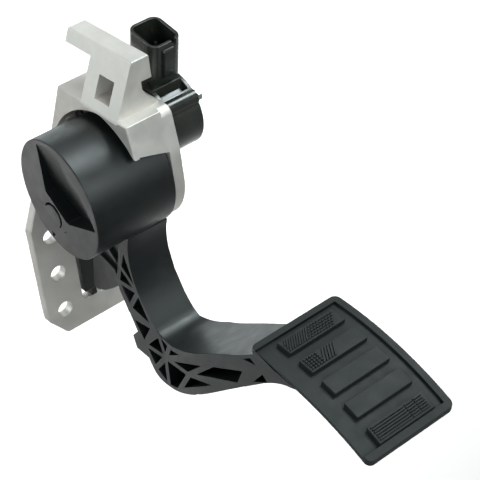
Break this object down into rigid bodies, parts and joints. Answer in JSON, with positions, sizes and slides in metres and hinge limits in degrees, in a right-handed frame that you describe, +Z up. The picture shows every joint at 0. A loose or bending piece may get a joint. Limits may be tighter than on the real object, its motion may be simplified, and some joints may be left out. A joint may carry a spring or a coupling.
{
  "type": "accelerator pedal",
  "caption": "Accelerator pedal: a bowed foot pad on a truss-ribbed arm swings with a sprung hub drum under the hood of a cast bracket that carries a position sensor.",
  "frame": {"origin": "middle of the bolt holes, in the mounting face of the bracket", "axes": "+Y into the bulkhead that carries the bracket, +Z up along the plate, +X to the driver's right, where the sensor is; the pivot axis runs along X"},
  "size_m": [0.0938, 0.3132, 0.2297],
  "materials": {
    "cast_aluminium": "satin cast",
    "arm_plastic": "moulded satin",
    "sensor_plastic": "moulded gloss",
    "black_rubber": "moulded",
    "bronze": "sintered",
    "spring_steel": "drawn wire",
    "ground_steel": "ground",
    "zinc_steel": "zinc plated",
    "tinned_brass": "tinned",
    "board": "coated laminate",
    "magnet": "sintered"
  },
  "bodies": {
    "bracket": {"bracket_casting": "cast_aluminium", "stop_buffer": "black_rubber", "idle_bumper": "black_rubber", "bush_inner": "bronze", "bush_outer": "bronze", "spring_inner": "spring_steel", "spring_outer": "spring_steel", "sensor_housing": "sensor_plastic", "sensor_lid": "sensor_plastic", "sensor_seal": "black_rubber", "sensor_board": "board", "hall_element": "sensor_plastic", "connector_terminals": "tinned_brass", "sensor_sleeves": "zinc_steel", "sensor_screws": "zinc_steel"},
    "pedal": {"pedal_arm": "arm_plastic", "pivot_shaft": "ground_steel", "washer_inner": "zinc_steel", "washer_outer": "zinc_steel", "shaft_clip": "spring_steel", "magnet": "magnet"}
  },
  "joints": [
    {"name": "pedal_pivot", "type": "hinge", "parent": "bracket", "child": "pedal", "pos_m": [0, -0.062, 0.095], "axis": [1, 0, 0], "range_deg": [0, 13], "stiffness_Nm_per_rad": 17.5, "springref_deg": -16.33}
  ]
}
